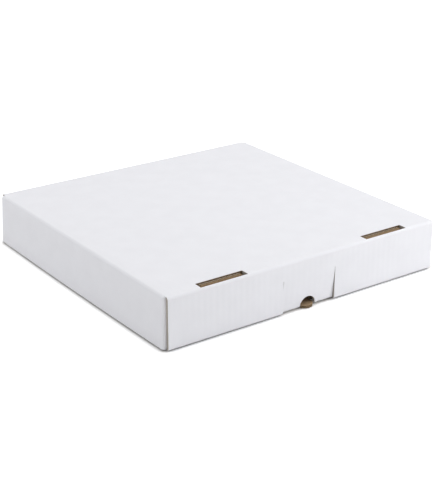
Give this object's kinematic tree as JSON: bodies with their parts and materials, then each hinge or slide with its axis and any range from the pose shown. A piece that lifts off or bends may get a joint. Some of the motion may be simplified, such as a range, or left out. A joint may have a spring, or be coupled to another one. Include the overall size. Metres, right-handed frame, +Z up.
{
  "type": "pizza box",
  "caption": "Square corrugated folder box for a pizza, white outside and brown inside, with a hinged lid, rolled locking front wall, splayed sides and a push-in thumb tab",
  "frame": {"origin": "on the table under the middle of the box, at the middle of the bottom panel's underside", "axes": "+X to the right along the front wall, +Y from the front wall towards the back wall, +Z up"},
  "size_m": [0.3098, 0.3056, 0.05],
  "materials": {
    "white_board": "matte"
  },
  "bodies": {
    "base": {"base": "white_board"},
    "lid": {"lid": "white_board"},
    "thumb_tab": {"thumb_tab": "white_board"}
  },
  "joints": [
    {"name": "lid_hinge", "type": "hinge", "parent": "base", "child": "lid", "pos_m": [0, 0.1525, 0.05], "axis": [-1, 0, 0], "range_deg": [0, 120]},
    {"name": "thumb_tab_bend", "type": "hinge", "parent": "lid", "child": "thumb_tab", "pos_m": [0, -0.1525, 0.03], "axis": [1, 0, 0], "range_deg": [-5, 7]}
  ]
}
